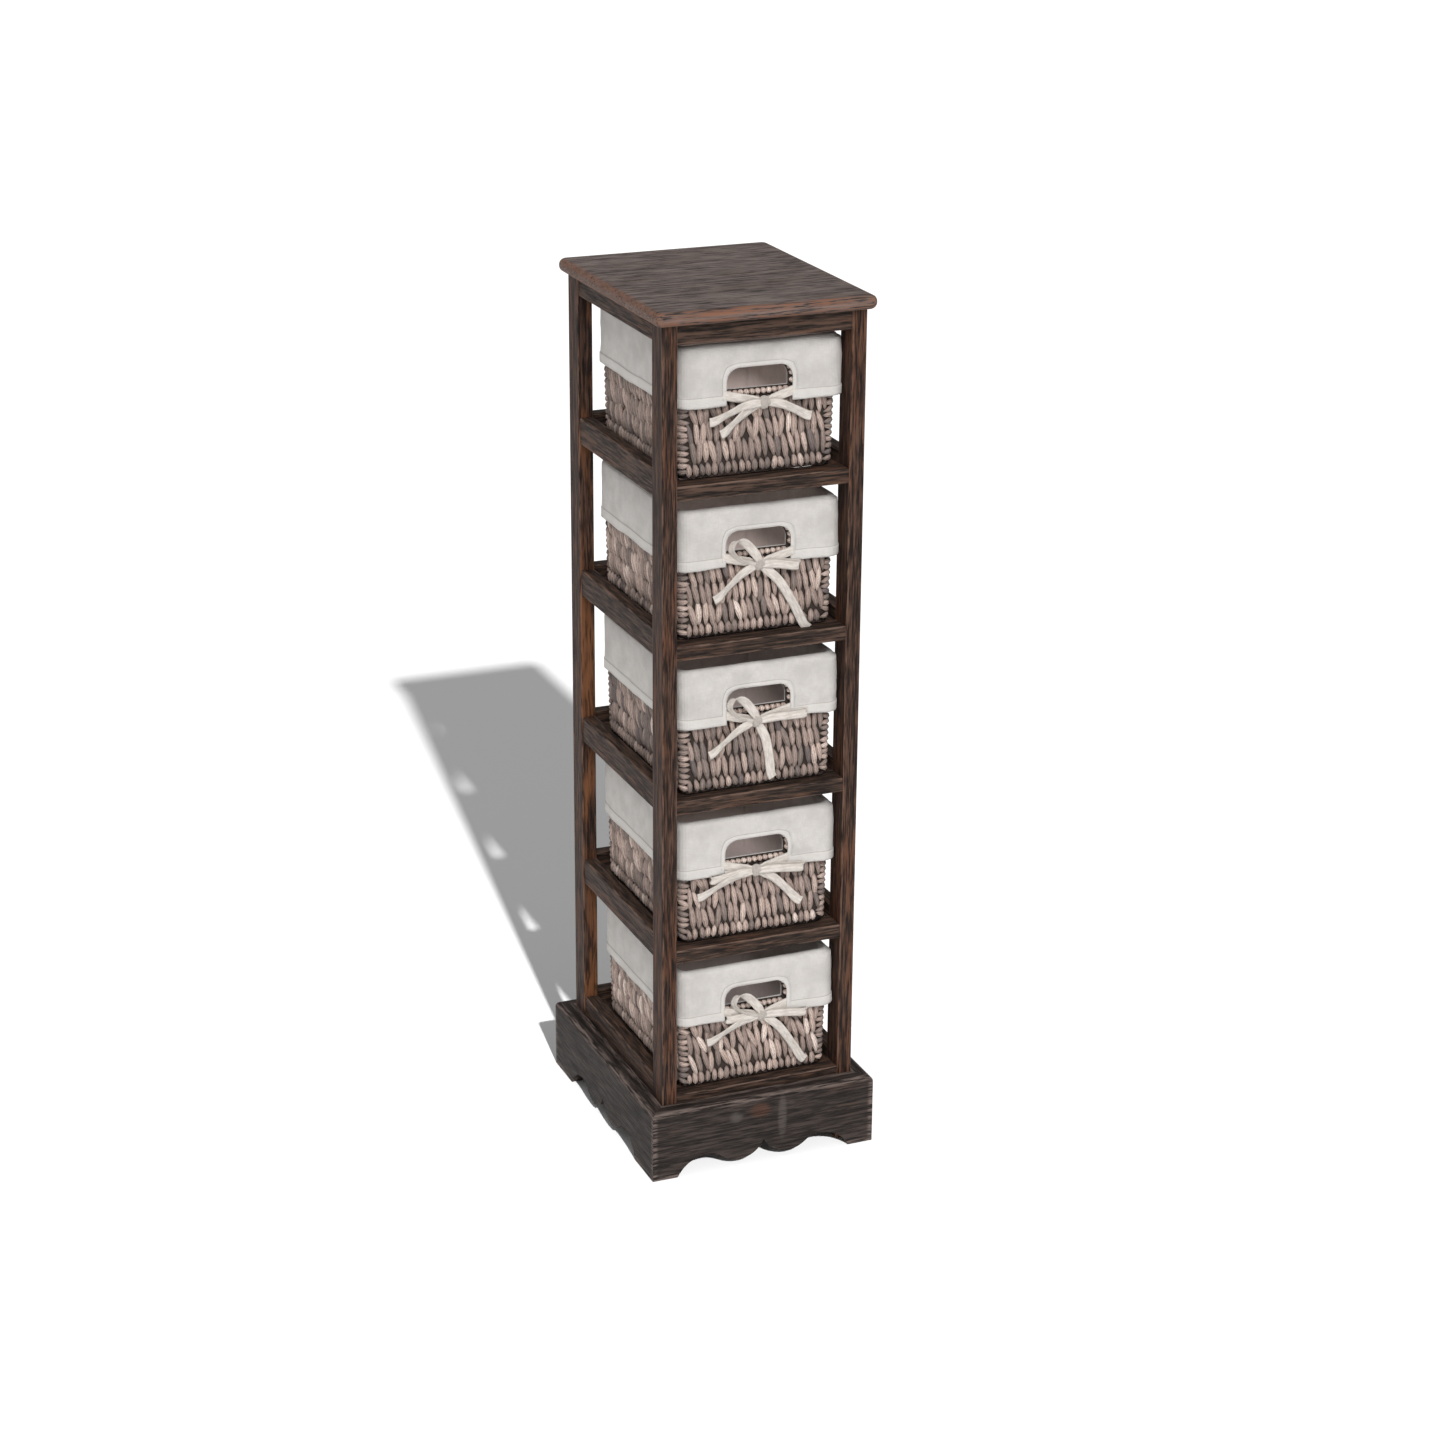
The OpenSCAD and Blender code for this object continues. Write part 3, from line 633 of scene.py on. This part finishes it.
def lining_sheet(level):
    """The cotton bag of one basket."""
    inner_z = steps(6.8 * MM, (40 * MM, 4), (HOLE_LOW, 7), (HOLE_TOP, 6), (FOLD_Z, 3))
    inner = [(-WALL - CUFF_OUT, z) for z in inner_z]
    fold = [(-WALL / 2 - FOLD_R * math.cos(turn), FOLD_Z + FOLD_R * math.sin(turn))
            for turn in steps(0, (math.pi, 8))[1:]]
    tape_top = HOLE_TOP + BINDING
    outer_z = steps(FOLD_Z, (tape_top, 4), (tape_top - 0.4 * MM, 1), (HOLE_TOP, 2), (96 * MM, 6),
                    (HEM_Z + 0.5 * MM, 5), (HEM_Z, 1), (CUFF_Z, 4))
    outer = [(CUFF_OUT, z) for z in outer_z]
    columns = around(*steps(0, (HOLE_HALF - HOLE_ROUND, 5), (HOLE_HALF, 6), (NOTCH_HALF, 1),
                            (NOTCH_HALF + BINDING - 0.4 * MM, 2), (NOTCH_HALF + BINDING, 1), (48 * MM, 3)))
    bm, lines = flat_sheet(columns, inner + fold[:-1] + outer)
    cut_window(bm, HOLE_HALF, HOLE_LOW, HOLE_TOP, True)
    cut_window(bm, NOTCH_HALF, 0, HOLE_TOP, False)
    trim, daylight = bm.verts.layers.float.new("trim"), bm.verts.layers.float.new("daylight")
    for vert in bm.verts:
        s, out, z = vert.co.x, -vert.co.y, vert.co.z
        vert[daylight] = DAYLIGHT[level] * max(0.0, 1 - z / DAYLIGHT_TOP) if out < -WALL else 0.0
        if out > 0 and z < FOLD_Z + 0.1 * MM:
            vert[trim] = 1.0 if doubled(s, z) else 0.0
            s, out, z = cuff_shape(s, out, z, level)
        elif z < FOLD_Z - 0.1 * MM:
            out -= max(0.0, noise.noise(wall_place(s, 0, z) * 22 + Vector((3, 0, level)))) * 1.5 * MM
            s, z = round_window(s, z, HOLE_HALF)
        else:
            wave = noise.noise(wall_place(s, 0, z) * 40 + Vector((0, 5, level)))
            z += wave * 0.7 * MM * (z - FOLD_Z) / FOLD_R
        vert.co = Vector((s, -out, z))
    onto_wall(bm, level)
    bmesh.ops.remove_doubles(bm, verts=bm.verts, dist=0.05 * MM)
    close_foot(bm)
    return bm


linings = {}
for level in LEVELS:
    linings[level] = finished(lining_sheet(level), f"lining_cloth_{level}", level, cotton)
    cloth = linings[level].modifiers.new("Thickness", "SOLIDIFY")
    cloth.thickness, cloth.offset = 0.9 * MM, 0.0
    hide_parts(f"lining_{level}")

# Ribbons
# A cotton tape sewn to each lower corner of the notch. The two are knotted below the hand hole in a bow whose
# loops and raw ends fall differently on each basket.
TAPE = 9.5 * MM
KNOT_Z = 73 * MM
KNOT_S = {1: 4.6 * MM, 2: 0.5 * MM, 3: -2.5 * MM, 4: -0.5 * MM, 5: 6.0 * MM}
BOWS = {
    1: (("tail", -58, -15, 4.5), ("tail", -45, -29, 2.2), ("tail", 51, -18, 3.5)),
    2: (("tail", -48, -33, 3.5), ("tail", 56, -75, 3), ("loop", -29, 27, 4), ("fold", 43, -5, 2.5)),
    3: (("tail", -51, -31, 3.5), ("tail", 20, -65, 3), ("loop", -28, 28, 4), ("fold", 55, 3, 2.5)),
    4: (("tail", -65, -21, 4), ("tail", 52, -43, 3), ("fold", 52, -2, 3.5), ("fold", -50, -3, 1.8)),
    5: (("tail", -61, -22, 4), ("tail", 52, -62, 3), ("loop", -30, 28, 4), ("fold", 51, -3, 2.5),
        ("fold", -39, 2, 1.8)),
}
# Each route's points: shares of the knot's distance from its end, along and across, mm out, radians of turn
ROUTES = {
    "tail": [(0, 0, 0, 0), (0.3, 0.06, 0.3, 0.2), (0.65, 0.03, 0.6, 0.5), (0.9, -0.01, 0.1, 0.1),
             (1, 0, -0.1, 0)],
    "fold": [(0, 0, 0, 0), (0.4, 0.03, 0.2, 0.1), (0.9, 0.02, 0.4, 0.1), (1, 0, 1.8, 0),
             (0.9, -0.02, 3.2, 0.1), (0.4, 0.02, 2.8, 0.1), (0, 0, 1.0, 0)],
    "loop": [(0, 0.05, 0, 0), (0.35, 0.14, 1.5, 0.1), (0.8, 0.16, 4.0, 0.5), (1, 0.02, 4.5, 1.1),
             (0.88, -0.22, 3.0, 1.2), (0.45, -0.24, 1.0, 0.9), (0, -0.05, 0, 0.4)],
}


tape_finish, tape_shader, tape_way = new_finish("ribbon", "UVMap", "UV")
tape_u, tape_v, _ = tape_way.axes()
tape_weave = (tape_u * 4000).math("SINE") * 0.5 + (tape_v * 5200).math("SINE") * 0.5
tape_slubs = tape_way.grain(500.0, (0.2, 1, 1))
selvedge = abs(tape_v / TAPE - 0.5).between(0.40, 0.47)
tape_colour = tape_slubs.between(0.35, 0.65).mix(paint(188, 180, 172), paint(212, 205, 197))
tape_colour = (selvedge * 0.4).mix(tape_colour, paint(164, 154, 144))
tape_relief = tape_weave * 0.2 + tape_slubs + selvedge * 0.6
apply(tape_shader, tape_colour, 0.8 + tape_slubs * 0.1, tape_relief, 0.4 * MM)
tape_shader.inputs["Sheen Weight"].default_value = 0.2


def spline(points, part):
    """The point so far along a smooth line through the points, with part from 0 to 1."""
    place = part * (len(points) - 1)
    k = min(int(place), len(points) - 2)
    t = place - k
    before, start, end, after = (points[min(max(k + j, 0), len(points) - 1)] for j in (-1, 0, 1, 2))
    return 0.5 * (2 * start + (end - before) * t + (2 * before - 5 * start + 4 * end - after) * t * t
                  + (3 * start - 3 * end + after - before) * t ** 3)


def add_tape(bm, route, face, stations=26):
    """A strip of tape along a route of places and turns, its width square to the direction it faces."""
    places = [spline(route, k / stations) for k in range(stations + 1)]
    ways = walked([place.xyz for place in places])
    strip, lines = flat_sheet(ways, [(0, part * TAPE) for part in (-0.5, -0.28, 0, 0.28, 0.5)])
    for k, place in enumerate(places):
        after, before = places[min(k + 1, stations)], places[max(k - 1, 0)]
        along = (after - before).xyz.normalized()
        width = face * math.cos(place.w) + Vector((0, -1, 0)) * math.sin(place.w)
        width = (width - along * width.dot(along)).normalized()
        pinch = min(1.0, 0.55 + place.xyz.length / (26 * MM))
        for line in lines:
            across = line[k].co.z
            crease = 0.5 * MM * math.cos(across / TAPE * 9 + k * 0.25)
            line[k].co = place.xyz + width * across * pinch + along.cross(width) * crease * (1.5 - pinch)
    strip.to_mesh(one_strand)
    strip.free()
    bm.from_mesh(one_strand)
    return ways[-1]


def add_knot(bm):
    """A tight knot: a flattened ball with the creases of the tape wrapped round it."""
    for vert in bmesh.ops.create_uvsphere(bm, u_segments=28, v_segments=18, radius=1, calc_uvs=True)["verts"]:
        x, y, z = vert.co
        crease = 1 + 0.10 * math.sin(9 * x + 3 * z) + 0.05 * math.sin(14 * z - 4 * x)
        vert.co = Vector((x * 6.0 * crease, (y * 3.4 - 2.6) * crease, z * 6.6)) * MM


for level in LEVELS:
    bow = bmesh.new()
    bow.loops.layers.uv.new("UVMap")
    length = 0.0
    for side in (-1, 1):
        corner = Vector((side * (NOTCH_HALF + 3.5 * MM) - KNOT_S[level], -2.6 * MM, 10.5 * MM, 0))
        band = [corner, corner * 0.62 + Vector((0, -0.8 * MM, 0, 0)), Vector((0, -3 * MM, 0.5 * MM, 0))]
        length += add_tape(bow, band, Vector((corner.z, 0, -corner.x)).normalized(), 12)
    for kind, x, z, lift in BOWS[level]:
        chord = Vector((x, 0, z)) * MM
        across = Vector((z, 0, -x)) * MM * (1 if x < 0 else -1)
        route = []
        for along, aside, out, turn in ROUTES[kind]:
            place = (chord * along + across * aside - Vector((0, (lift + out) * MM, 0))).to_4d()
            place.w = turn
            route.append(place)
        length += add_tape(bow, route, across.normalized())
    add_knot(bow)
    bmesh.ops.translate(bow, verts=bow.verts, vec=(KNOT_S[level], 0, KNOT_Z))
    onto_wall(bow, level)
    ribbon = finished(bow, f"ribbon_{level}", level, tape_finish)
    tape = ribbon.modifiers.new("Thickness", "SOLIDIFY")
    tape.thickness, tape.offset = 0.6 * MM, 0.0
    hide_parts(f"tie_{level}")
bpy.data.meshes.remove(one_strand)

# Camera, floor and light
# A wide pale floor under a sky that is white to the camera and grey to all else. The shelf is lit softly from
# the front, as in a studio, and a low narrow beam lights the floor alone, so that a clear shadow lies behind
# the shelf.
CAMERA_PLACE = (-1.1837, -2.8657, 1.5951)
CAMERA_YAW, CAMERA_PITCH, CAMERA_ROLL = (math.radians(angle) for angle in (22.598, 20.328, 0.353))
camera = bpy.data.objects.new("Camera", bpy.data.cameras.new("Camera"))
camera.data.lens, camera.data.sensor_width = 78.57, 36.0
aim = Matrix.Rotation(-CAMERA_YAW, 4, "Z") @ Matrix.Rotation(math.pi / 2 - CAMERA_PITCH, 4, "X")
camera.matrix_world = Matrix.Translation(CAMERA_PLACE) @ aim @ Matrix.Rotation(CAMERA_ROLL, 4, "Z")
bpy.context.scene.collection.objects.link(camera)
bpy.context.scene.camera = camera

floor_mesh = bpy.data.meshes.new("floor")
floor_bm = bmesh.new()
bmesh.ops.create_grid(floor_bm, x_segments=1, y_segments=1, size=30)
bmesh.ops.translate(floor_bm, verts=floor_bm.verts, vec=(0, 0, -0.5 * MM))
floor_bm.to_mesh(floor_mesh)
floor_bm.free()
floor = bpy.data.objects.new("floor", floor_mesh)
bpy.context.scene.collection.objects.link(floor)
floor_finish, floor_shader, _ = new_finish("floor")
floor_shader.inputs["Base Color"].default_value = (0.93, 0.93, 0.93, 1)
floor_shader.inputs["Roughness"].default_value = 0.9
floor_mesh.materials.append(floor_finish)

world = bpy.data.worlds.new("World")
bpy.context.scene.world = world
world.use_nodes = True
sky = world.node_tree.nodes["Background"]
ray = Shade(world.node_tree, world.node_tree.nodes.new("ShaderNodeLightPath").outputs["Is Camera Ray"])
SKY = (0.36, 0.36, 0.36, 1)
world.node_tree.links.new(ray.mix(SKY, (1, 1, 1, 1)).socket, sky.inputs["Color"])


def add_sun(name, energy, spread, towards, lit):
    """A distant lamp that lights only these objects."""
    sun = bpy.data.objects.new(name, bpy.data.lights.new(name, "SUN"))
    sun.data.energy, sun.data.angle = energy, math.radians(spread)
    sun.matrix_world = Vector(towards).to_track_quat("Z", "Y").to_matrix().to_4x4()
    sun.light_linking.receiver_collection = bpy.data.collections.new(f"lit by {name}")
    for piece in lit:
        sun.light_linking.receiver_collection.objects.link(piece)
    bpy.context.scene.collection.objects.link(sun)


shelf = [piece for piece in bpy.context.scene.objects if piece.type == "MESH" and piece is not floor]
add_sun("soft key", 2.7, 35, (-0.3, -1.0, 1.1), shelf)
add_sun("floor beam", 5.0, 1.3, (-0.208, -1.43, 1.0), [floor])
bpy.context.scene.view_settings.view_transform = "Standard"
